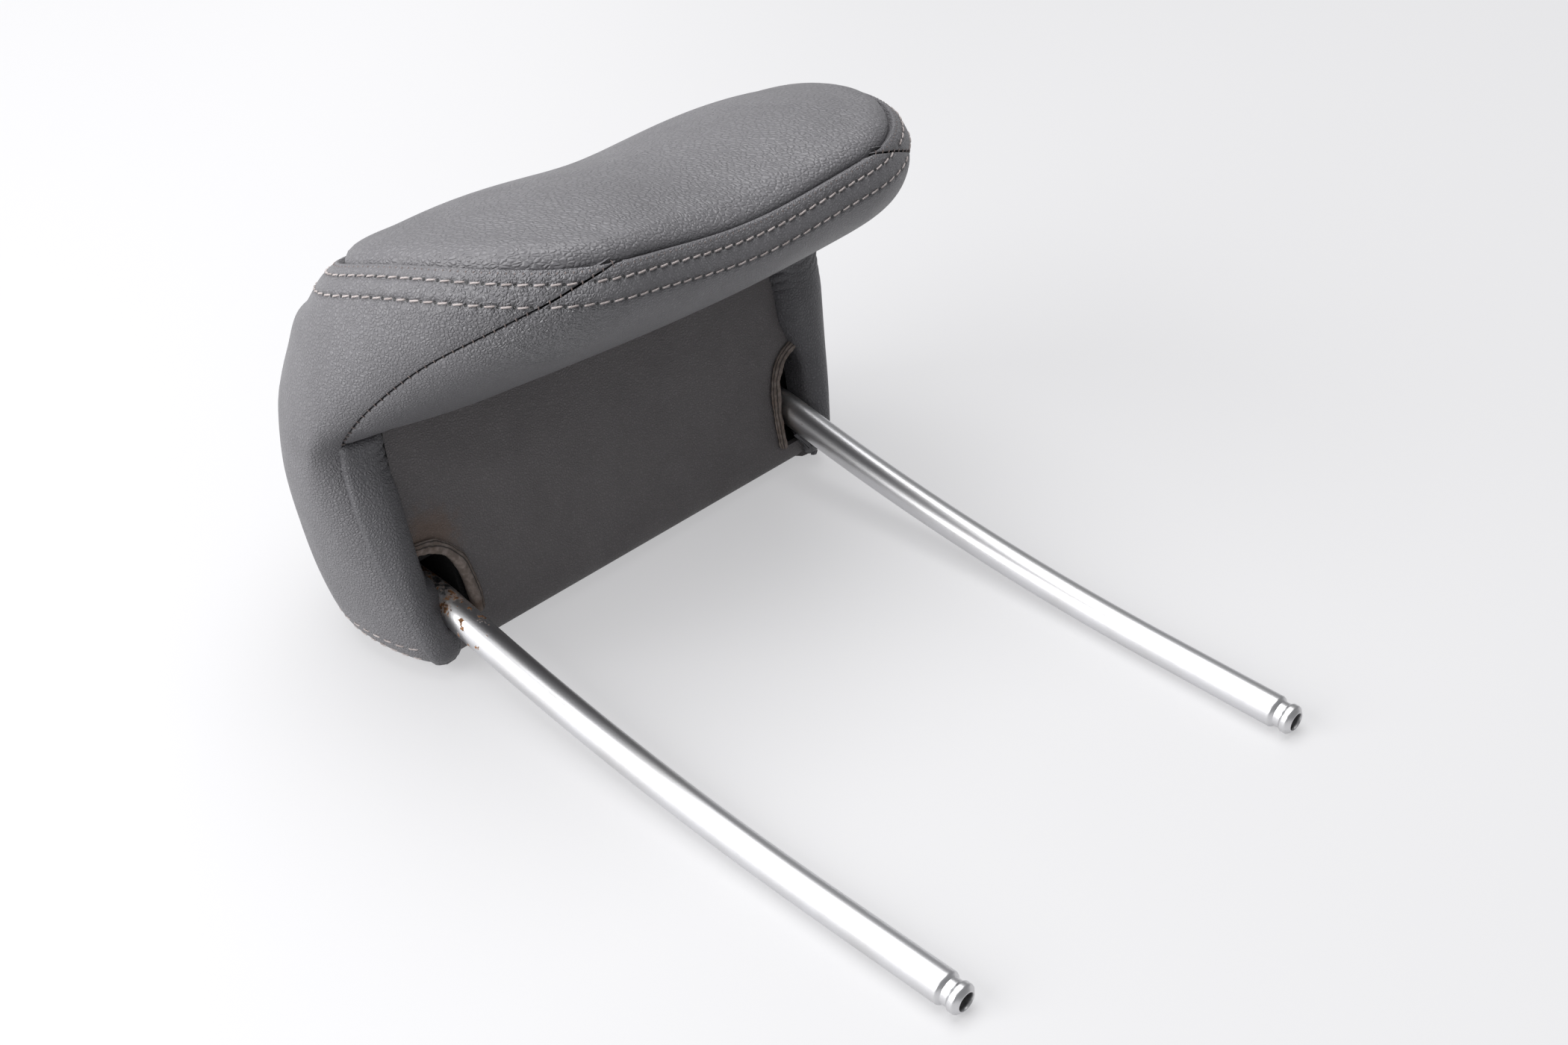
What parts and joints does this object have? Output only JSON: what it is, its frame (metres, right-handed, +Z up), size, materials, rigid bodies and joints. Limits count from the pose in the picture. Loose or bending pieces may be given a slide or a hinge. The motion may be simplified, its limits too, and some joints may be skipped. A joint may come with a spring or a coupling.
{
  "type": "car headrest",
  "caption": "Leather covered car headrest on two bowed chrome posts, with a foam core and a tilting carrier inside.",
  "frame": {"origin": "Centre of the underside as the headrest lies on its back on a table, at table height, half way between the post tips and the far end of the cushion.", "axes": "+Z up from the table, which is forwards in the car; +Y along the posts from their tips towards the cushion, which is up in the car; +X across the headrest."},
  "size_m": [0.214, 0.287, 0.1476],
  "materials": {
    "chrome": "bright chrome plate with small rust spots",
    "leather": "dark grey grained leather, semi-matt, worn glossy in places",
    "dark_leather": "darker, smoother synthetic leather, matt",
    "slit_backing": "cut backing cloth, taupe, frayed",
    "foam": "moulded foam",
    "shell_plastic": "moulded black plastic",
    "nylon": "natural nylon",
    "spring_steel": "rolled strip",
    "screw_steel": "zinc plated"
  },
  "bodies": {
    "cushion": {"foam_core": "foam", "front_panel": "leather", "chin_band": "leather", "side_panel_left": "leather", "side_panel_right": "leather", "recess_strip_left": "leather", "recess_strip_right": "leather", "under_panel": "dark_leather", "rear_panel": "dark_leather", "slit_edge_left": "slit_backing", "slit_edge_right": "slit_backing", "carrier_front_shell": "shell_plastic", "carrier_rear_shell": "shell_plastic", "clamp_front_left": "nylon", "clamp_rear_left": "nylon", "clamp_front_right": "nylon", "clamp_rear_right": "nylon", "clamp_spring_left": "spring_steel", "clamp_spring_right": "spring_steel", "carrier_screw_1": "screw_steel", "carrier_screw_2": "screw_steel", "carrier_screw_3": "screw_steel", "carrier_screw_4": "screw_steel"},
    "post_frame": {"post_tube": "chrome"}
  },
  "joints": [
    {"name": "cushion_tilt", "type": "hinge", "parent": "cushion", "child": "post_frame", "pos_m": [0, 0.1065, 0.0225], "axis": [-1, 0, 0], "range_deg": [0, 12]}
  ]
}
